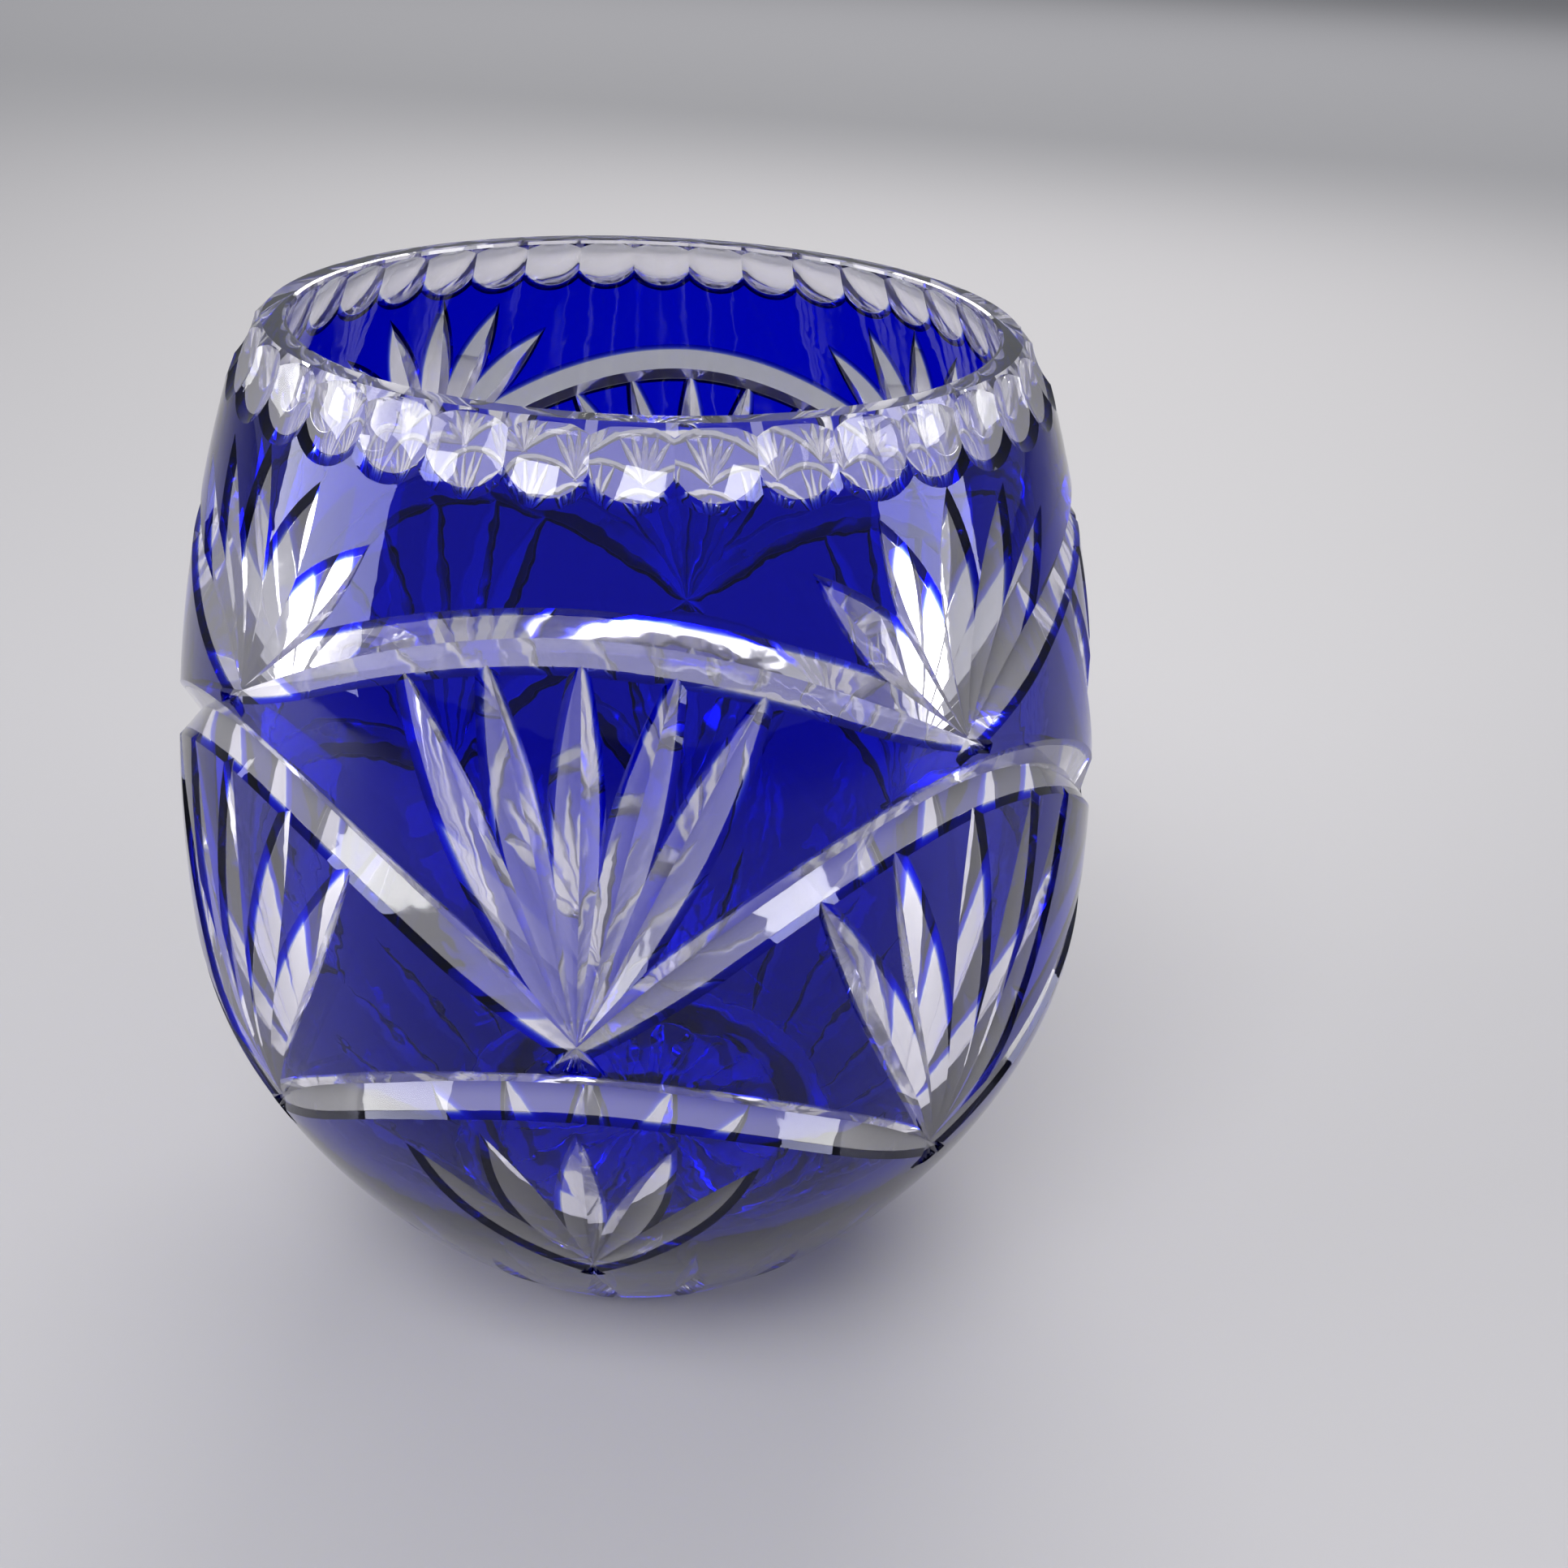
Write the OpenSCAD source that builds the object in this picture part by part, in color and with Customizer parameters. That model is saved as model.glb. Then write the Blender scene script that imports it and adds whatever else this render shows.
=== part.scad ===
// Cut crystal vase: a clear crystal body under a skin of cobalt glass, cut through to the
// clear glass in rows of scale-shaped arcs with a fan of five leaves in each scale.
// The cutting leaves the cobalt skin as separate islands, and each island is a part here.
// Front is -Y, up is +Z, and the origin is the middle of the foot.

/* [Vase] */
// Height from the table to the rim
height = 145; // [143:1:150]
// Outer radius of the foot
foot_r = 34; // [32:1:36]
// Outer radius of the belly
belly_r = 66.7; // [65:0.1:68]
// Height of the belly
belly_z = 62.5; // [61:0.5:64]
// Outer radius at the rim
rim_r = 50.4; // [49:0.1:52]
// How round the lower half is
lower_power = 1.8; // [1.7:0.05:1.9]
// How round the shoulder is
upper_power = 2.1; // [2:0.05:2.2]

/* [Glass] */
// Thickness of the cobalt skin
skin_t = 0.7; // [0.7:0.05:0.8]
// Wall at the rim, before the bevel
rim_wall = 5; // [4.5:0.1:5.5]
// Wall at the belly
belly_wall = 6.5; // [6:0.1:7.5]
// Height of the floor inside
floor_z = 11; // [10:0.5:13]
// Radius of the flat part of the floor
floor_r = 30; // [28:1:32]

/* [Rim and foot] */
// Height of the bevel round the rim
bevel_h = 2.4; // [2:0.1:2.8]
// Width of the bevel round the rim
bevel_w = 2; // [1.8:0.1:2.2]
// Number of flutes below the rim
flutes = 36; // [32:4:40]
// Radius of the wheel's round edge that cuts a flute
flute_r = 13; // [12:0.5:14]
// Depth of a flute
flute_d = 2; // [1.8:0.1:2.2]
// Height of a flute's deepest point below the rim
flute_drop = 2; // [1.5:0.1:2.5]
// Depth of the recess under the foot
recess_d = 1.2; // [1:0.1:1.6]
// Radius of the recess under the foot
recess_r = 25; // [22:1:27]
// Number of rays of the star under the foot, and of cuts round the heel
rays = 24; // [16:4:32]

/* [Scales] */
// Number of scales round the vase
scales = 4; // [4:1:4]
// Half width of an arc's groove
arc_w = 3.6; // [3.4:0.1:3.6]
// Depth of an arc's groove
arc_d = 2.9; // [2.7:0.1:3]
// Height of the crest of the top arcs
crest_a = 124; // [123:0.5:125]
// Height of the crest of the middle arcs
crest_b = 102.2; // [101.8:0.1:102.4]
// Height of the crest of the bottom arcs
crest_c = 69.1; // [68.6:0.1:69.4]
// Height where the top arcs meet
root_a = 108.2; // [108:0.1:109]
// Height where the middle arcs meet
root_b = 75.8; // [75.6:0.1:76.4]
// Height where the bottom arcs meet
root_c = 46; // [45:0.5:47]
// Height of the root of the lowest fans
root_d = 30.5; // [30:0.5:31.5]

/* [Leaves] */
// Depth of a leaf where it is widest
leaf_d = 2.9; // [2.7:0.1:3]
// Half width of a leaf where it is widest
leaf_w = 3.4; // [3.2:0.1:3.6]
// Length of the leaves below the rim
leaf_a = 30; // [28:1:31]
// Length of the leaves above the foot
leaf_d_len = 35; // [33:1:36]

/* [Hidden] */
FANS = [0, 1, 2, 3];
GAPS = [0, 1, 2, 3];

turn = 360 / scales;
half = turn / 2;
skirt_z = 2.2;
bands = 18;
heights = concat([0, skirt_z], [for (k = [1:bands]) height * k / bands]);
last = len(heights) - 1;
slope_step = 0.1;
inner_power = 2.2;
// How far the cutters stand out of the surface, and how shallow they end
lift = 1.6;
shallow = 0.02;
clear = 5;
$fn = 96;
fine = 288;
cobalt = [0.02, 0.03, 0.62];
crystal = [0.86, 0.89, 0.94, 0.6];

// ---- the surface of revolution ----

function outer_r(z) = z < belly_z
    ? belly_r - (belly_r - foot_r) * pow(1 - z / belly_z, lower_power)
    : belly_r - (belly_r - rim_r) * pow((z - belly_z) / (height - belly_z), upper_power);

function slope(z) = let (low = max(z - slope_step, 0), high = min(z + slope_step, height))
    (outer_r(high) - outer_r(low)) / (high - low);

// Point of the profile, sunk by d along the surface's normal
function sunk(z, d) = let (s = slope(z), n = sqrt(1 + s * s))
    [outer_r(z) - d / n, z + d * s / n];

function inner_r(z) = z < belly_z
    ? belly_r - belly_wall - (belly_r - belly_wall - floor_r)
        * pow((belly_z - z) / (belly_z - floor_z), inner_power)
    : outer_r(z) - belly_wall
        + (belly_wall - rim_wall) * (z - belly_z) / (height - belly_z);

// ---- cuts: a chain of V sections that follows the surface ----

// Point of the surface at azimuth a, counted from the front
function on_surface(a, z) = let (r = outer_r(z)) [r * sin(a), -r * cos(a), z];

function normal(a, z) = let (s = slope(z), n = sqrt(1 + s * s))
    [sin(a) / n, -cos(a) / n, -s / n];

function unit(v) = v / norm(v);

// V section: its bottom, then its two upper corners
function section(p, n, along, depth, spread) = let (side = unit(cross(n, along)))
    [p - depth * n,
     p + lift * n - (depth + lift) * spread * side,
     p + lift * n + (depth + lift) * spread * side];

// Closed solid through a chain of V sections
module groove(sections) {
    n = len(sections) - 1;
    points = [for (s = sections) for (p = s) p];
    sides = [for (i = [0:n - 1]) for (k = [0:2])
        let (a = 3 * i + k, b = 3 * i + (k + 1) % 3)
        each [[a, b, a + 3], [b, b + 3, a + 3]]];
    polyhedron(points, concat([[2, 1, 0]], sides, [[3 * n, 3 * n + 1, 3 * n + 2]]));
}

// Sections along a path of [azimuth, height, depth]
function along_path(path, spread) = let (n = len(path) - 1)
    [for (i = [0:n])
        let (
            before = path[max(i - 1, 0)],
            after = path[min(i + 1, n)],
            run = on_surface(after[0], after[1]) - on_surface(before[0], before[1])
        )
        section(on_surface(path[i][0], path[i][1]), normal(path[i][0], path[i][1]),
                run, path[i][2], spread)];

// ---- arcs ----

arc_steps = 9;
arc_power = 1.9;
tail = 1.06;
arc_full = 0.7;
arc_fade = 0.57;

function arc_z(crest, root, a) = crest - (crest - root) * pow(abs(a) / half, arc_power);

// Full depth along the arc, then shallow where it crosses its neighbour
function arc_depth(u) = u < arc_full ? arc_d
    : arc_d * (1 - arc_fade * pow((u - arc_full) / (1 - arc_full), 2));

module arc_groove(crest, root) {
    groove(along_path(
        [for (i = [-arc_steps:arc_steps])
            let (u = tail * i / arc_steps)
            [u * half, arc_z(crest, root, u * half), arc_depth(abs(u))]],
        arc_w / arc_d
    ));
}

// ---- leaves ----

leaf_steps = 7;
widest = 0.55;
run_up = 0.12;

function leaf_depth(t) = t < widest
    ? leaf_d * (1 - pow((widest - t) / (widest + run_up), 2))
    : leaf_d * (1 - pow((t - widest) / (1 - widest), 2));

// A leaf is straight in the view along the radius through its root
function leaf_point(root, tip, t) =
    let (
        x = tip[0] * t,
        z = root + (tip[1] - root) * t
    )
    [asin(x / outer_r(z)), z, max(leaf_depth(t), shallow)];

module leaf(root, tip) {
    groove(along_path(
        [for (i = [0:leaf_steps])
            leaf_point(root, tip, (1 + run_up / 2) * i / leaf_steps - run_up / 2)],
        leaf_w / leaf_d
    ));
}

// Tips [x, z] of the fans that reach the arc above them
upper_spread = [-21.4, -11.1, 0, 11.1, 21.4];
lower_spread = [-21.5, -12, 0, 12, 21.5];
past_arc = 0.4;

function tips_on_arc(spread, crest, root) =
    [for (a = spread)
        let (z = arc_z(crest, root, a) + past_arc)
        [outer_r(z) * sin(a), z]];

upper_tips = tips_on_arc(upper_spread, crest_a, root_a);
lower_tips = tips_on_arc(lower_spread, crest_b, root_b);

// Tips of the fans that end in the cobalt
free_spread = [-39, -20, 0, 20, 39];
flatten = 0.955;

function free_tips(root, len) =
    [for (a = free_spread) [len * sin(a), root + flatten * len * cos(a)]];

module fan(root, tips) {
    for (tip = tips) leaf(root, tip);
}

// ---- small cuts ----

heel_top = 28;
heel_bottom = 1;
heel_d = 1.8;
heel_steps = 5;

module heel_cuts() {
    for (k = [0:rays - 1]) rotate(k * 360 / rays)
        groove(along_path(
            [for (i = [0:heel_steps])
                let (t = i / heel_steps)
                [0, heel_top + (heel_bottom - heel_top) * t,
                 max(heel_d * 4 * t * (1 - t), shallow)]],
            leaf_w / leaf_d
        ));
}

module flute_cuts() {
    z = height - flute_drop;
    centre = sunk(z, flute_d - flute_r);
    for (k = [0:flutes - 1]) rotate((k + 0.5) * 360 / flutes)
        translate([0, -centre[0], centre[1]]) sphere(flute_r);
}

module rim_bevel() {
    rotate_extrude() polygon([
        [outer_r(height - bevel_h), height - bevel_h],
        [rim_r - bevel_w, height],
        [rim_r - bevel_w, height + lift],
        [rim_r + clear, height + lift],
        [rim_r + clear, height - bevel_h]
    ]);
}

ray_w = 2.2;
ray_d = 1.2;
ray_end = 1.5;

module star() {
    for (k = [0:rays / 2 - 1]) rotate(k * 360 / rays)
        rotate([90, 0, 0]) linear_extrude(2 * (recess_r - ray_end), center = true)
            polygon([[-ray_w, recess_d - 1], [ray_w, recess_d - 1], [0, recess_d + ray_d]]);
}

// All the cuts of the pattern, as one solid
module pattern_cuts() {
    for (k = FANS) rotate(k * turn) {
        arc_groove(crest_a, root_a);
        arc_groove(crest_c, root_c);
        fan(root_b, upper_tips);
        fan(root_d, free_tips(root_d, leaf_d_len));
        rotate(half) {
            arc_groove(crest_b, root_b);
            fan(root_a, free_tips(root_a, leaf_a));
            fan(root_c, lower_tips);
        }
    }
    heel_cuts();
}

// ---- the body ----

inner_bands = 16;
foot_edge = 2;

module body_blank() {
    inner = [for (k = [0:inner_bands])
        let (z = height + (floor_z - height) * k / inner_bands) [inner_r(z), z]];
    rotate_extrude() polygon(concat(
        [[0, recess_d], [recess_r, recess_d], [recess_r + 1, 0], [foot_r - foot_edge, 0]],
        [for (z = heights) sunk(z, skin_t)],
        [[rim_r - 1, height]],
        inner,
        [[0, floor_z]]
    ));
}

module crystal_body() {
    color(crystal) difference() {
        body_blank();
        pattern_cuts();
        flute_cuts();
        rim_bevel();
        star();
    }
}

// ---- the cobalt skin ----

// Skin between two of the profile's heights
module skin(from, to) {
    rotate_extrude() polygon(concat(
        [for (k = [from:to]) [outer_r(heights[k]), heights[k]]],
        [for (k = [to:-1:from]) sunk(heights[k], skin_t)]
    ));
}

// Solid that holds all of the skin inside an outline, seen from the front
module window(outline) {
    rotate([90, 0, 0]) linear_extrude(belly_r + clear) polygon(outline);
}

line_steps = 8;

// Outline point of the surface at azimuth a, seen from the front
function seen(a, z) = [outer_r(z) * sin(a), z];

// Line of an arc whose crest is at azimuth mid, from azimuth a to azimuth b
function arc_line(crest, root, mid, a, b) = [for (i = [0:line_steps])
    let (t = a + (b - a) * i / line_steps) seen(t, arc_z(crest, root, t - mid))];

// Middle line of a leaf whose root is at azimuth mid
function leaf_line(root, tip, mid) = [for (i = [1:leaf_steps])
    let (p = leaf_point(root, tip, i / leaf_steps)) seen(p[0] + mid, p[1])];

function reversed(list) = [for (i = [len(list) - 1:-1:0]) list[i]];

function tip_azimuth(tip) = asin(tip[0] / outer_r(tip[1]));

// Heights, as places in the list, between which each kind of island lies
island_from = 5;
island_to = 19;
collar_from = 14;
skirt_to = 11;

// Where a wedge's outline starts, as a share of the leaves' length, and how its corners
// stay inside the cuts
wedge_start = 0.4;
wedge_side = 0.4;
wedge_drop = 1.2;
under_arc = 1.5;
wedge_turn = 1;

// Island between two neighbouring leaves of a fan, below the arc over the fan
module wedge(gap, crest, root, fan_root, tips) {
    a = tips[gap];
    b = tips[gap + 1];
    start = [0, (1 - wedge_start) * fan_root];
    side = [wedge_side, 0];
    down = [0, -wedge_drop];
    color(cobalt) difference() {
        intersection() {
            skin(island_from, island_to, $fn = fine);
            window(concat(
                [wedge_start * a + start - side, a + side + down],
                arc_line(crest - under_arc, root - under_arc, 0,
                         tip_azimuth(a) + wedge_turn, tip_azimuth(b) - wedge_turn),
                [b - side + down, wedge_start * b + start + side]
            ));
        }
        fan(fan_root, tips);
        arc_groove(crest, root);
    }
}

low_arc = 0.95;

// Island between two neighbouring fans, with the arc of the row below under it
module saddle(crest, root, fan_root, tips, low_crest) {
    first = tips[0];
    final = tips[len(tips) - 1];
    color(cobalt) difference() {
        intersection() {
            skin(island_from, island_to, $fn = fine);
            window(concat(
                leaf_line(fan_root, final, -half),
                arc_line(crest, root, -half, tip_azimuth(final) - half, 0),
                arc_line(crest, root, half, 0, tip_azimuth(first) + half),
                reversed(leaf_line(fan_root, first, half)),
                arc_line(low_crest, fan_root, 0, low_arc * half, -low_arc * half)
            ));
        }
        arc_groove(low_crest, fan_root);
        for (side = [-half, half]) rotate(side) {
            arc_groove(crest, root);
            fan(fan_root, tips);
        }
    }
}

collar_low = root_a - 12;
skirt_high = crest_c + 15;

module overlay_collar() {
    color(cobalt) difference() {
        skin(collar_from, last);
        for (k = FANS) rotate(k * turn) {
            window(concat(
                arc_line(crest_a, root_a, 0, -half, half),
                [seen(half + 3, collar_low), seen(-half - 3, collar_low)]
            ));
            arc_groove(crest_a, root_a);
            rotate(half) fan(root_a, free_tips(root_a, leaf_a));
        }
        flute_cuts();
        rim_bevel();
    }
}

module overlay_skirt() {
    color(cobalt) difference() {
        skin(1, skirt_to);
        for (k = FANS) rotate(k * turn) {
            window(concat(
                arc_line(crest_c, root_c, 0, -half, half),
                [
                    seen(half + 1.5, root_c + 1.5), seen(half + 8, skirt_high),
                    seen(-half - 8, skirt_high), seen(-half - 1.5, root_c + 1.5)
                ]
            ));
            arc_groove(crest_c, root_c);
            fan(root_d, free_tips(root_d, leaf_d_len));
        }
        heel_cuts();
    }
}

module overlay_upper_wedge(k, gap) {
    rotate(k * turn) wedge(gap, crest_a, root_a, root_b, upper_tips);
}

module overlay_lower_wedge(k, gap) {
    rotate(k * turn + half) wedge(gap, crest_b, root_b, root_c, lower_tips);
}

module overlay_upper_saddle(k) {
    rotate(k * turn + half) saddle(crest_a, root_a, root_b, upper_tips, crest_b);
}

module overlay_lower_saddle(k) {
    rotate(k * turn) saddle(crest_b, root_b, root_c, lower_tips, crest_c);
}

crystal_body();
overlay_collar();
overlay_skirt();
for (k = FANS) overlay_upper_saddle(k);
for (k = FANS) overlay_lower_saddle(k);
for (k = FANS, g = GAPS)
    overlay_upper_wedge(k, g);
for (k = FANS, g = GAPS)
    overlay_lower_wedge(k, g);
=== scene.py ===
"""Looks of the cut crystal vase: a clear body and the cobalt islands that the cutting leaves."""

import math

import bmesh
import bpy
import numpy as np
from mathutils import Matrix, Vector


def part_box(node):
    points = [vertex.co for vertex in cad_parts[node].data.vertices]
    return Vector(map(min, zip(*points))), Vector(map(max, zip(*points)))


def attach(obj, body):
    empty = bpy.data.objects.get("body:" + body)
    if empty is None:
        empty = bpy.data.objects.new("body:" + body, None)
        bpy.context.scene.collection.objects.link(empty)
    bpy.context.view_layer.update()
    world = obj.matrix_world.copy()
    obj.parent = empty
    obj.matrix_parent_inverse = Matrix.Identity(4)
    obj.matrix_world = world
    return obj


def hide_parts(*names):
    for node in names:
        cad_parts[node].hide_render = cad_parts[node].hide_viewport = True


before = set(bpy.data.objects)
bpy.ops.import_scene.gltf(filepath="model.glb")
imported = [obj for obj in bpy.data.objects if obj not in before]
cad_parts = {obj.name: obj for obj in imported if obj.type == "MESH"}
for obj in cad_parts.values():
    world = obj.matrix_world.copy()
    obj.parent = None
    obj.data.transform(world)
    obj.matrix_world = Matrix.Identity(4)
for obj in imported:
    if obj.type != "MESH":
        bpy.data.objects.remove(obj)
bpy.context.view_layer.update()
MM = 0.001

# ---- sizes in millimetres, as in the CAD ----
HEIGHT, FOOT_R, BELLY_R, BELLY_Z, RIM_R = 145.0, 34.0, 66.7, 62.5, 50.4
LOWER_POWER, UPPER_POWER = 1.8, 2.1
SKIN_T, RIM_WALL, BELLY_WALL, FLOOR_Z, FLOOR_R = 0.7, 5.0, 6.5, 11.0, 30.0
BEVEL_H, BEVEL_W = 2.4, 2.0
FLUTES, FLUTE_R, FLUTE_D, FLUTE_DROP = 36, 13.0, 2.0, 2.0
RECESS_D, RECESS_R, RAYS = 1.2, 25.0, 24
SCALES, ARC_W, ARC_D, ARC_POWER, ARC_TAIL = 4, 3.6, 2.9, 1.9, 1.06
CREST_A, CREST_B, CREST_C = 124.0, 102.2, 69.1
ROOT_A, ROOT_B, ROOT_C, ROOT_D = 108.2, 75.8, 46.0, 30.5
LEAF_D, LEAF_W, LEAF_WIDEST = 2.9, 3.4, 0.55
LEAF_A, LEAF_D_LEN, FLATTEN = 30.0, 35.0, 0.955
UPPER_SPREAD = (-21.4, -11.1, 0.0, 11.1, 21.4)
LOWER_SPREAD = (-21.5, -12.0, 0.0, 12.0, 21.5)
FREE_SPREAD = (-39.0, -20.0, 0.0, 20.0, 39.0)
SKIRT_Z, LIFT = 2.2, 1.6
HEEL_TOP, HEEL_BOTTOM, HEEL_D = 28.0, 1.0, 1.8
TURN = 360 / SCALES
HALF = TURN / 2
ARC_FULL, ARC_FADE = 0.7, 0.57
RUN_UP, PAST_ARC = 0.12, 1.2
INNER_POWER, SLOPE_STEP = 2.2, 0.1
RAY_W, RAY_D, RAY_END = 2.2, 1.2, 1.5
FOOT_EDGE, CLEAR, SHALLOW = 2, 5, 0.02

# The corner at the floor: how far up the wall it starts and how far in it ends
CORNER_UP, CORNER_IN = 4, 8
# The inner edge of the rim: out from the wall, and down from the rim
RIM_ROUND = ((0.5, 0), (0.1, 0.15), (-0.03, 0.6))
# The gap between body and skin, and the depth that no cut passes
FUSED_GAP, DEEPEST = 0.02, 4.2
# Volume in cubic millimetres below which a loose solid is a crumb
CRUMB = 0.5

# ---- how fine the meshes are ----
ROUND_STEPS, ROWS, INNER_ROWS, CORNER_ROWS = 480, 72, 45, 8
ARC_STEPS, LEAF_STEPS, HEEL_STEPS, LOOKUP_ROWS = 44, 28, 20, 400


# ---- the surface of revolution ----
def outer_r(z):
    if z < BELLY_Z:
        return BELLY_R - (BELLY_R - FOOT_R) * (1 - z / BELLY_Z) ** LOWER_POWER
    return BELLY_R - (BELLY_R - RIM_R) * ((z - BELLY_Z) / (HEIGHT - BELLY_Z)) ** UPPER_POWER


def slope(z):
    """Change of the outer radius with height."""
    low, high = max(z - SLOPE_STEP, 0), min(z + SLOPE_STEP, HEIGHT)
    return (outer_r(high) - outer_r(low)) / (high - low)


def sunk(z, depth):
    """Point (r, z) of the profile, sunk by depth along the surface's normal."""
    s = slope(z)
    n = math.hypot(1, s)
    return outer_r(z) - depth / n, z + depth * s / n


def inner_r(z):
    if z < BELLY_Z:
        full = BELLY_R - BELLY_WALL
        return full - (full - FLOOR_R) * ((BELLY_Z - z) / (BELLY_Z - FLOOR_Z)) ** INNER_POWER
    return outer_r(z) - BELLY_WALL + (BELLY_WALL - RIM_WALL) * (z - BELLY_Z) / (HEIGHT - BELLY_Z)


def on_surface(a, z):
    """Point of the outer surface at azimuth a, counted from the front."""
    r, t = outer_r(z), math.radians(a)
    return Vector((r * math.sin(t), -r * math.cos(t), z))


def normal(a, z):
    s, t = slope(z), math.radians(a)
    return Vector((math.sin(t), -math.cos(t), -s)).normalized()


# ---- meshes ----
def make_object(name, verts, faces):
    """Object from points in millimetres."""
    mesh = bpy.data.meshes.new(name)
    mesh.from_pydata([Vector(v) * MM for v in verts], [], faces)
    bm = bmesh.new()
    bm.from_mesh(mesh)
    bmesh.ops.triangulate(bm, faces=[f for f in bm.faces if len(f.verts) > 4])
    bmesh.ops.recalc_face_normals(bm, faces=bm.faces)
    bm.to_mesh(mesh)
    bm.free()
    obj = bpy.data.objects.new(name, mesh)
    bpy.context.scene.collection.objects.link(obj)
    return obj


def revolve(name, line, steps=ROUND_STEPS, ring=False):
    """Turns (r, z) points into a closed solid. An open line starts and ends on the axis."""
    verts, faces = [], []
    body = line if ring else line[1:-1]
    for k in range(steps):
        t = 2 * math.pi * k / steps
        verts += [(r * math.sin(t), -r * math.cos(t), z) for r, z in body]
    n = len(body)
    for k in range(steps):
        a, b = k * n, (k + 1) % steps * n
        for i in range(n if ring else n - 1):
            j = (i + 1) % n
            faces.append((a + i, b + i, b + j, a + j))
    if not ring:
        verts += [(0, 0, line[0][1]), (0, 0, line[-1][1])]
        for k in range(steps):
            a, b = k * n, (k + 1) % steps * n
            faces.append((len(verts) - 2, b, a))
            faces.append((len(verts) - 1, a + n - 1, b + n - 1))
    return make_object(name, verts, faces)


def groove(sections):
    """Closed chain of V sections, as (verts, faces)."""
    verts = [p for s in sections for p in s]
    n = len(sections) - 1
    faces = [(2, 1, 0), (3 * n, 3 * n + 1, 3 * n + 2)]
    for i in range(n):
        for k in range(3):
            a, b = 3 * i + k, 3 * i + (k + 1) % 3
            faces.append((a, b, b + 3, a + 3))
    return verts, faces


def along_path(path, spread):
    """V sections along a path of (azimuth, height, depth)."""
    sections = []
    for i, (a, z, depth) in enumerate(path):
        before, after = path[max(i - 1, 0)], path[min(i + 1, len(path) - 1)]
        run = on_surface(after[0], after[1]) - on_surface(before[0], before[1])
        p, n = on_surface(a, z), normal(a, z)
        side = n.cross(run).normalized()
        reach = (depth + LIFT) * spread
        sections.append((p - depth * n, p + LIFT * n - reach * side, p + LIFT * n + reach * side))
    return sections


def turned(shape, angle):
    """The shape, turned about the vase's axis."""
    t = math.radians(angle)
    c, s = math.cos(t), math.sin(t)
    verts, faces = shape
    return [Vector((c * v[0] - s * v[1], s * v[0] + c * v[1], v[2])) for v in verts], faces


def together(name, shapes):
    """One object that holds several shapes."""
    verts, faces = [], []
    for shape_verts, shape_faces in shapes:
        base = len(verts)
        verts += shape_verts
        faces += [tuple(base + i for i in f) for f in shape_faces]
    return make_object(name, verts, faces)


def arc_z(crest, root, a):
    return crest - (crest - root) * (abs(a) / HALF) ** ARC_POWER


def arc_depth(u):
    """Full depth along the arc, then shallow where it crosses its neighbour."""
    if u < ARC_FULL:
        return ARC_D
    return ARC_D * (1 - ARC_FADE * ((u - ARC_FULL) / (1 - ARC_FULL)) ** 2)


def arc(crest, root):
    path = []
    for i in range(-ARC_STEPS, ARC_STEPS + 1):
        u = ARC_TAIL * i / ARC_STEPS
        path.append((u * HALF, arc_z(crest, root, u * HALF), arc_depth(abs(u))))
    return groove(along_path(path, ARC_W / ARC_D))


def leaf_depth(t):
    if t < LEAF_WIDEST:
        return LEAF_D * (1 - ((LEAF_WIDEST - t) / (LEAF_WIDEST + RUN_UP)) ** 2)
    return LEAF_D * (1 - ((t - LEAF_WIDEST) / (1 - LEAF_WIDEST)) ** 2)


def leaf(root, tip):
    """A leaf is straight in the view along the radius through its root."""
    path = []
    for i in range(LEAF_STEPS + 1):
        t = (1 + RUN_UP / 2) * i / LEAF_STEPS - RUN_UP / 2
        z = root + (tip[1] - root) * t
        a = math.degrees(math.asin(tip[0] * t / outer_r(z)))
        path.append((a, z, max(leaf_depth(t), SHALLOW)))
    return groove(along_path(path, LEAF_W / LEAF_D))


def tips_on_arc(spread, crest, root):
    """Tips (x, z) of a fan that reaches the arc above it."""
    tips = []
    for a in spread:
        z = arc_z(crest, root, a) + PAST_ARC
        tips.append((outer_r(z) * math.sin(math.radians(a)), z))
    return tips


def free_tips(root, length):
    """Tips (x, z) of a fan that ends in the cobalt."""
    return [
        (length * math.sin(math.radians(a)), root + FLATTEN * length * math.cos(math.radians(a)))
        for a in FREE_SPREAD
    ]


def sphere(centre, r, across=64, down=32):
    verts = [(centre[0], centre[1], centre[2] - r), (centre[0], centre[1], centre[2] + r)]
    faces = []
    for i in range(1, down):
        t = math.pi * i / down
        for k in range(across):
            a = 2 * math.pi * k / across
            verts.append((centre[0] + r * math.sin(t) * math.cos(a),
                          centre[1] + r * math.sin(t) * math.sin(a),
                          centre[2] - r * math.cos(t)))
    for k in range(across):
        m = (k + 1) % across
        faces.append((0, 2 + m, 2 + k))
        for i in range(down - 2):
            a, b = 2 + i * across, 2 + (i + 1) * across
            faces.append((a + k, a + m, b + m, b + k))
        top = 2 + (down - 2) * across
        faces.append((1, top + k, top + m))
    return [Vector(v) for v in verts], faces


def combine(target, cutter, operation):
    """Boolean of two objects into target. The cutter object is kept."""
    mod = target.modifiers.new("cut", "BOOLEAN")
    mod.operation = operation
    mod.solver = "MANIFOLD"
    mod.object = cutter
    graph = bpy.context.evaluated_depsgraph_get()
    mesh = bpy.data.meshes.new_from_object(target.evaluated_get(graph))
    target.modifiers.clear()
    old = target.data
    target.data = mesh
    bpy.data.meshes.remove(old)


def drop(obj):
    """Removes an object and its mesh."""
    mesh = obj.data
    bpy.data.objects.remove(obj)
    bpy.data.meshes.remove(mesh)


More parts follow.
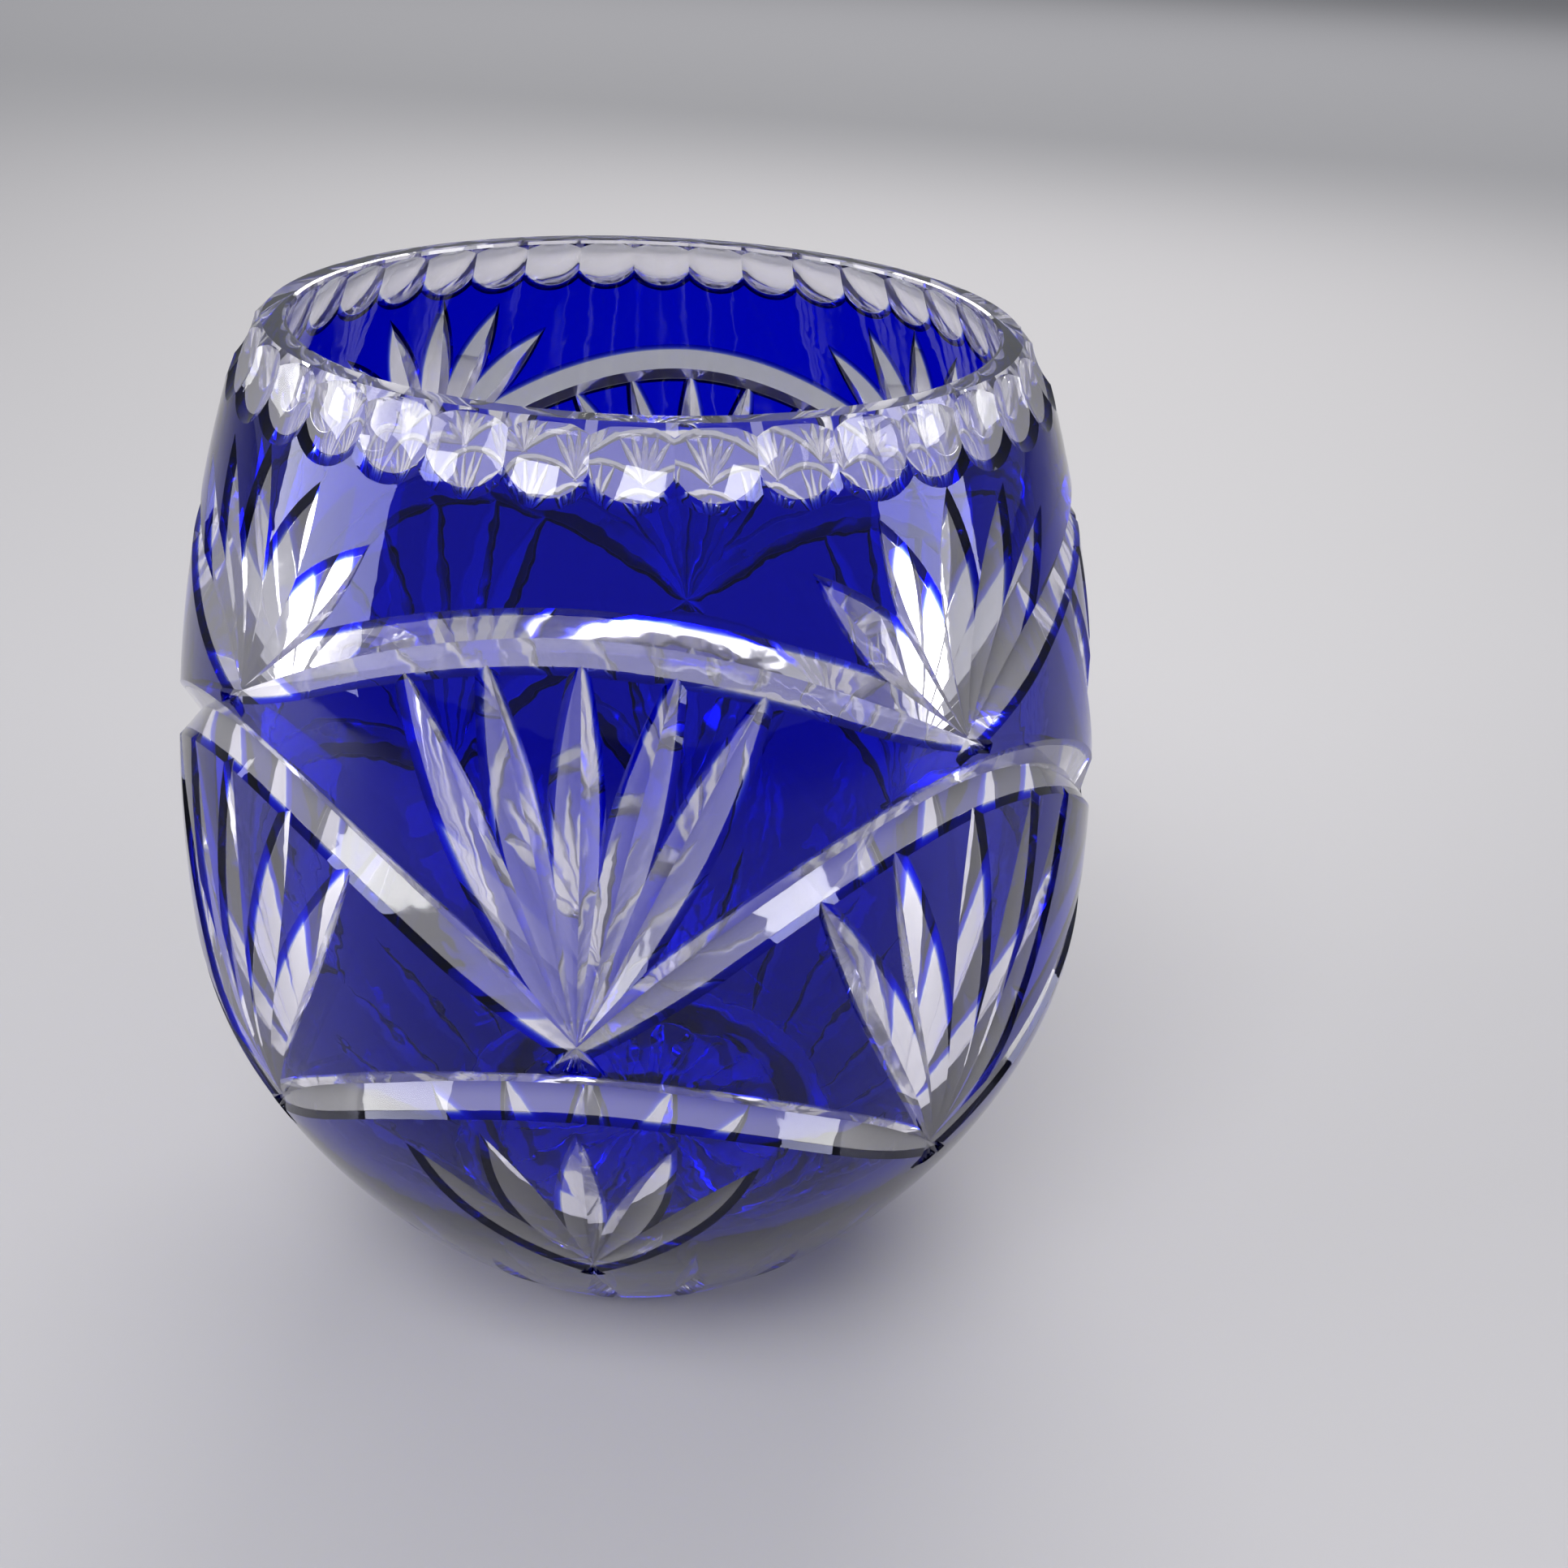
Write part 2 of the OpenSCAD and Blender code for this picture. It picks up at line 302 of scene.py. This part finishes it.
# ---- the cutters ----
def pattern_groups():
    """Lists of shapes. The shapes within a list don't touch one another."""
    groups = []
    corners = [k * TURN for k in range(SCALES)]
    for crest, root, shift in ((CREST_A, ROOT_A, 0), (CREST_B, ROOT_B, HALF), (CREST_C, ROOT_C, 0)):
        for first in (0, 1):
            groups.append([turned(arc(crest, root), a + shift) for a in corners[first::2]])
    upper = tips_on_arc(UPPER_SPREAD, CREST_A, ROOT_A)
    lower = tips_on_arc(LOWER_SPREAD, CREST_B, ROOT_B)
    for g in range(len(FREE_SPREAD)):
        shapes = []
        for a in corners:
            shapes.append(turned(leaf(ROOT_B, upper[g]), a))
            shapes.append(turned(leaf(ROOT_D, free_tips(ROOT_D, LEAF_D_LEN)[g]), a))
            shapes.append(turned(leaf(ROOT_A, free_tips(ROOT_A, LEAF_A)[g]), a + HALF))
            shapes.append(turned(leaf(ROOT_C, lower[g]), a + HALF))
        groups.append(shapes)
    heel = []
    for i in range(HEEL_STEPS + 1):
        t = i / HEEL_STEPS
        z = HEEL_TOP + (HEEL_BOTTOM - HEEL_TOP) * t
        heel.append((0, z, max(HEEL_D * 4 * t * (1 - t), SHALLOW)))
    cut = groove(along_path(heel, LEAF_W / LEAF_D))
    for first in (0, 1):
        groups.append([turned(cut, k * 360 / RAYS) for k in range(first, RAYS, 2)])
    r, z = sunk(HEIGHT - FLUTE_DROP, FLUTE_D - FLUTE_R)
    ball = sphere((0, -r, z), FLUTE_R)
    for first in (0, 1, 2):
        groups.append([turned(ball, (k + 0.5) * 360 / FLUTES) for k in range(first, FLUTES, 3)])
    return groups


def star_cutter():
    """Radial V cuts under the foot."""
    length = RECESS_R - RAY_END
    section = [(-RAY_W, RECESS_D - 1), (RAY_W, RECESS_D - 1), (0, RECESS_D + RAY_D)]
    star = None
    for k in range(RAYS // 2):
        verts = [Vector((x, y, z)) for y in (-length, length) for x, z in section]
        faces = [(0, 1, 2), (5, 4, 3), (0, 3, 4, 1), (1, 4, 5, 2), (2, 5, 3, 0)]
        ray = together("ray", [turned((verts, faces), k * 360 / RAYS)])
        if star is None:
            star = ray
        else:
            combine(star, ray, "UNION")
            drop(ray)
    return star


def bevel_cutter():
    """Ring that takes the bevel off the rim."""
    low = HEIGHT - BEVEL_H
    return revolve("bevel", [
        (outer_r(low), low), (RIM_R - BEVEL_W, HEIGHT), (RIM_R - BEVEL_W, HEIGHT + LIFT),
        (RIM_R + CLEAR, HEIGHT + LIFT), (RIM_R + CLEAR, low)], ring=True)


# ---- the two blanks ----
def body_line():
    """Profile of the clear body: the foot, up the outside, and down the inside to the floor."""
    line = [(0, RECESS_D), (RECESS_R, RECESS_D), (RECESS_R + 1, 0), (FOOT_R - FOOT_EDGE, 0)]
    line += [sunk(HEIGHT * k / ROWS, SKIN_T + FUSED_GAP) for k in range(ROWS + 1)]
    line.append((RIM_R - 1, HEIGHT))
    line += [(RIM_R - RIM_WALL + out, HEIGHT - down) for out, down in RIM_ROUND]
    corner_z = FLOOR_Z + CORNER_UP
    for k in range(1, INNER_ROWS + 1):
        z = HEIGHT + (corner_z - HEIGHT) * k / INNER_ROWS
        line.append((inner_r(z), z))
    corner, mid, flat = (inner_r(corner_z), corner_z), (FLOOR_R, FLOOR_Z), (FLOOR_R - CORNER_IN, FLOOR_Z)
    for k in range(1, CORNER_ROWS + 1):
        t = k / CORNER_ROWS
        line.append(tuple(
            (1 - t) ** 2 * corner[i] + 2 * t * (1 - t) * mid[i] + t * t * flat[i] for i in (0, 1)))
    line.append((0, FLOOR_Z))
    return line


def skin_line():
    """Closed profile of the skin before it is cut."""
    levels = [SKIRT_Z + (HEIGHT - SKIRT_Z) * k / ROWS for k in range(ROWS + 1)]
    return [(outer_r(z), z) for z in levels] + [sunk(z, SKIN_T) for z in reversed(levels)]


body = revolve("crystal_body_look", body_line())
skin = revolve("skin", skin_line(), ring=True)
for shapes in pattern_groups():
    cutter = together("cutter", shapes)
    combine(body, cutter, "DIFFERENCE")
    combine(skin, cutter, "DIFFERENCE")
    drop(cutter)
cutter = bevel_cutter()
combine(body, cutter, "DIFFERENCE")
combine(skin, cutter, "DIFFERENCE")
drop(cutter)
cutter = star_cutter()
combine(body, cutter, "DIFFERENCE")
drop(cutter)


# ---- islands ----
def split_loose(obj):
    """One mesh for each separate solid. Crumbs go."""
    bm = bmesh.new()
    bm.from_mesh(obj.data)
    bm.verts.ensure_lookup_table()
    seen, groups = set(), []
    for v in bm.verts:
        if v.index in seen:
            continue
        stack, found = [v], []
        seen.add(v.index)
        while stack:
            w = stack.pop()
            found.append(w.index)
            for e in w.link_edges:
                o = e.other_vert(w)
                if o.index not in seen:
                    seen.add(o.index)
                    stack.append(o)
        groups.append(set(found))
    islands = []
    for group in groups:
        part = bm.copy()
        part.verts.ensure_lookup_table()
        bmesh.ops.delete(part, geom=[v for v in part.verts if v.index not in group], context="VERTS")
        if abs(part.calc_volume()) > CRUMB * MM ** 3:
            mesh = bpy.data.meshes.new("island")
            part.to_mesh(mesh)
            islands.append(mesh)
        part.free()
    bm.free()
    return islands


def middle(mesh):
    """Centre and size of a mesh's box."""
    co = np.array([v.co for v in mesh.vertices])
    return (co.min(axis=0) + co.max(axis=0)) / 2, co.max(axis=0) - co.min(axis=0)


skin_nodes = [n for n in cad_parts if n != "crystal_body"]
pieces = {}
for mesh in split_loose(skin):
    centre, size = middle(mesh)
    best, best_gap = None, 1e9
    for name in skin_nodes:
        low, high = (np.array(c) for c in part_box(name))
        gap = np.abs((low + high) / 2 - centre).sum() + np.abs(high - low - size).sum()
        if gap < best_gap:
            best, best_gap = name, gap
    if best in pieces:
        raise ValueError("two islands for " + best)
    pieces[best] = bpy.data.objects.new(best + "_look", mesh)
    bpy.context.scene.collection.objects.link(pieces[best])
drop(skin)
missing = [n for n in skin_nodes if n not in pieces]
if missing:
    raise ValueError("no island for " + ", ".join(missing))


# ---- which faces are fused to the other piece ----
NEAR, ALONG, RIM_FLAT = 0.06, 0.97, 0.5


def profile_lookup(depth):
    """Heights and radii of the profile, sunk by depth, in order of height."""
    rows = [sunk(HEIGHT * k / LOOKUP_ROWS, depth) for k in range(LOOKUP_ROWS + 1)]
    z = np.array([p[1] for p in rows])
    r = np.array([p[0] for p in rows])
    order = np.argsort(z)
    return z[order], r[order]


def fused_faces(mesh, depth, facing):
    """True for faces that lie on the surface sunk by depth and face out (1) or in (-1)."""
    count = len(mesh.polygons)
    centre, norm = np.empty(count * 3), np.empty(count * 3)
    mesh.polygons.foreach_get("center", centre)
    mesh.polygons.foreach_get("normal", norm)
    centre, norm = centre.reshape(-1, 3) / MM, norm.reshape(-1, 3)
    z_rows, r_rows = profile_lookup(depth)
    r = np.hypot(centre[:, 0], centre[:, 1])
    off = np.abs(r - np.interp(centre[:, 2], z_rows, r_rows))
    tilt = np.gradient(r_rows, z_rows)
    s = np.interp(centre[:, 2], z_rows, tilt)
    safe_r = np.maximum(r, 1e-6)
    wall = np.stack([centre[:, 0] / safe_r, centre[:, 1] / safe_r, -s], axis=1)
    wall /= np.linalg.norm(wall, axis=1, keepdims=True)
    dot = (wall * norm).sum(axis=1) * facing
    return (off < NEAR) & (dot > ALONG) & (centre[:, 2] > SKIRT_Z)


def cut_faces(mesh):
    """True for faces near the outside. The cuts are never deeper than DEEPEST."""
    count = len(mesh.polygons)
    centre = np.empty(count * 3)
    mesh.polygons.foreach_get("center", centre)
    centre = centre.reshape(-1, 3) / MM
    z_rows, r_rows = profile_lookup(0)
    r = np.hypot(centre[:, 0], centre[:, 1])
    return (r > np.interp(centre[:, 2], z_rows, r_rows) - DEEPEST) & (centre[:, 2] < HEIGHT - RIM_FLAT)


# ---- materials ----
GLASS_IOR = 1.54
CUT_HAZE, CUT_TINT = 0.14, (0.95, 0.93, 1.0, 1)
COBALT_SHEEN = (0.5, 0.52, 0.85, 1)
COBALT_COLOUR, COBALT_DENSITY = (0.0, 0.13, 0.93, 1), 9500


def new_material(name):
    mat = bpy.data.materials.new(name)
    mat.use_nodes = True
    tree = mat.node_tree
    return mat, tree, tree.nodes["Principled BSDF"]


def add_noise(tree, scale, detail, rough=0.5):
    noise = tree.nodes.new("ShaderNodeTexNoise")
    noise.inputs["Scale"].default_value = scale
    noise.inputs["Detail"].default_value = detail
    noise.inputs["Roughness"].default_value = rough
    coords = tree.nodes.new("ShaderNodeTexCoord")
    tree.links.new(coords.outputs["Object"], noise.inputs["Vector"])
    return noise


def ramp(tree, value, low, high):
    """A noise value spread between low and high."""
    node = tree.nodes.new("ShaderNodeMapRange")
    node.inputs["From Min"].default_value = 0.35
    node.inputs["From Max"].default_value = 0.75
    node.inputs["To Min"].default_value = low
    node.inputs["To Max"].default_value = high
    tree.links.new(value, node.inputs["Value"])
    return node.outputs["Result"]


def glass_surface(tree, bsdf, wave, rough_low, rough_high, haze=0.0, tint=(1, 1, 1, 1)):
    """Polished glass: soft waves left by the wheel, faint patches of wear, and a haze on the cuts."""
    bsdf.inputs["Base Color"].default_value = tint
    bsdf.inputs["Transmission Weight"].default_value = 1 - haze
    bsdf.inputs["IOR"].default_value = GLASS_IOR
    wear = add_noise(tree, 90, 6, 0.6)
    tree.links.new(ramp(tree, wear.outputs["Fac"], rough_low, rough_high), bsdf.inputs["Roughness"])
    waves = add_noise(tree, 160, 2)
    bump = tree.nodes.new("ShaderNodeBump")
    bump.inputs["Strength"].default_value = wave
    bump.inputs["Distance"].default_value = 0.0002
    tree.links.new(waves.outputs["Fac"], bump.inputs["Height"])
    tree.links.new(bump.outputs["Normal"], bsdf.inputs["Normal"])


def make_crystal():
    mat, tree, bsdf = new_material("crystal")
    glass_surface(tree, bsdf, 0.25, 0.0, 0.02)
    return mat


def make_cut():
    mat, tree, bsdf = new_material("cut_crystal")
    glass_surface(tree, bsdf, 0.5, 0.01, 0.12, CUT_HAZE, CUT_TINT)
    return mat


def make_joint():
    """Where body and skin are fused, light goes straight through."""
    mat, tree, bsdf = new_material("fused_joint")
    bsdf.inputs["Base Color"].default_value = (1, 1, 1, 1)
    bsdf.inputs["Transmission Weight"].default_value = 1
    bsdf.inputs["IOR"].default_value = 1.0
    bsdf.inputs["Roughness"].default_value = 0
    return mat


def make_cobalt():
    """Deep blue through the glass itself. The attribute is 1 on the faces fused to the body."""
    mat, tree, bsdf = new_material("cobalt_glass")
    glass_surface(tree, bsdf, 0.2, 0.0, 0.015)
    bsdf.inputs["Specular Tint"].default_value = COBALT_SHEEN
    step = tree.nodes.new("ShaderNodeAttribute")
    step.attribute_name = "glass_step"
    tree.links.new(step.outputs["Fac"], bsdf.inputs["IOR"])
    absorb = tree.nodes.new("ShaderNodeVolumeAbsorption")
    absorb.inputs["Color"].default_value = COBALT_COLOUR
    absorb.inputs["Density"].default_value = COBALT_DENSITY
    tree.links.new(absorb.outputs["Volume"], tree.nodes["Material Output"].inputs["Volume"])
    return mat


crystal, joint, cut, cobalt = make_crystal(), make_joint(), make_cut(), make_cobalt()
SHARP = math.radians(18)


def finish_mesh(obj):
    obj.data.polygons.foreach_set("use_smooth", [True] * len(obj.data.polygons))
    obj.data.set_sharp_from_angle(angle=SHARP)


body.data.materials.clear()
for mat in (crystal, joint, cut):
    body.data.materials.append(mat)
covered = fused_faces(body.data, SKIN_T + FUSED_GAP, 1)
finish = np.where(covered, 1, np.where(cut_faces(body.data), 2, 0))
body.data.polygons.foreach_set("material_index", finish.astype(np.int32))
finish_mesh(body)
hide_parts("crystal_body")
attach(body, "root")
for name, obj in pieces.items():
    obj.data.materials.clear()
    obj.data.materials.append(cobalt)
    obj.data.polygons.foreach_set("material_index", np.zeros(len(obj.data.polygons), np.int32))
    inner = fused_faces(obj.data, SKIN_T, -1)
    steps = obj.data.attributes.new("glass_step", "FLOAT", "FACE")
    steps.data.foreach_set("value", np.where(inner, 1.0, GLASS_IOR).astype(np.float32))
    finish_mesh(obj)
    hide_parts(name)
    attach(obj, "root")

# ---- floor, light and camera ----
floor_mesh = bpy.data.meshes.new("floor")
FLOOR_HALF = 6
floor_mesh.from_pydata(
    [(-FLOOR_HALF, -FLOOR_HALF, 0), (FLOOR_HALF, -FLOOR_HALF, 0),
     (FLOOR_HALF, FLOOR_HALF, 0), (-FLOOR_HALF, FLOOR_HALF, 0)], [], [(0, 1, 2, 3)])
floor = bpy.data.objects.new("floor", floor_mesh)
bpy.context.scene.collection.objects.link(floor)
mat, tree, bsdf = new_material("pale_floor")
bsdf.inputs["Base Color"].default_value = (0.31, 0.305, 0.32, 1)
bsdf.inputs["Roughness"].default_value = 0.6
floor_mesh.materials.append(mat)


def area_light(name, place, target, size, power, colour=(1, 1, 1)):
    """A soft box that faces its target."""
    data = bpy.data.lights.new(name, "AREA")
    data.shape = "RECTANGLE"
    data.size, data.size_y = size
    data.energy = power
    data.color = colour
    obj = bpy.data.objects.new(name, data)
    obj.location = place
    aim = Vector(target) - Vector(place)
    obj.rotation_euler = aim.to_track_quat("-Z", "Y").to_euler()
    bpy.context.scene.collection.objects.link(obj)


MIDDLE = (0, 0, 0.08)
area_light("soft_back", (0.1, 0.95, 0.7), MIDDLE, (0.9, 0.35), 8, (1, 0.97, 0.93))
area_light("side_left", (-0.75, -0.18, 0.28), MIDDLE, (0.5, 0.5), 5)
area_light("side_right", (0.78, -0.12, 0.26), MIDDLE, (0.4, 0.45), 4)
area_light("front_top", (-0.12, -0.5, 0.8), MIDDLE, (0.55, 0.4), 8)
area_light("far_floor", (0, 2.6, 1.6), (0, 2.3, 0), (4.0, 2.0), 45)

world = bpy.data.worlds.new("studio")
bpy.context.scene.world = world
world.use_nodes = True
world.node_tree.nodes["Background"].inputs["Color"].default_value = (0.8, 0.82, 0.86, 1)
world.node_tree.nodes["Background"].inputs["Strength"].default_value = 0.42

CAMERA_AT = Vector((25.4, -206.6, 194.1)) * MM
YAW, PITCH, ROLL = math.radians(-1.25), math.radians(29.86), math.radians(3.27)
ahead = Vector((math.sin(YAW) * math.cos(PITCH), math.cos(YAW) * math.cos(PITCH), -math.sin(PITCH)))
right = Vector((math.cos(YAW), -math.sin(YAW), 0))
above = right.cross(ahead)
right, above = (math.cos(ROLL) * right + math.sin(ROLL) * above,
                -math.sin(ROLL) * right + math.cos(ROLL) * above)
camera_data = bpy.data.cameras.new("camera")
camera_data.sensor_width = 36
camera_data.lens = 36
camera = bpy.data.objects.new("camera", camera_data)
camera.matrix_world = Matrix((
    (right.x, above.x, -ahead.x, CAMERA_AT.x),
    (right.y, above.y, -ahead.y, CAMERA_AT.y),
    (right.z, above.z, -ahead.z, CAMERA_AT.z),
    (0, 0, 0, 1)))
bpy.context.scene.collection.objects.link(camera)
bpy.context.scene.camera = camera

cycles = bpy.context.scene.cycles
cycles.max_bounces = 28
cycles.transmission_bounces = 28
cycles.glossy_bounces = 12
cycles.diffuse_bounces = 3
cycles.transparent_max_bounces = 16
cycles.sample_clamp_indirect = 6
bpy.context.scene.view_settings.view_transform = "Standard"
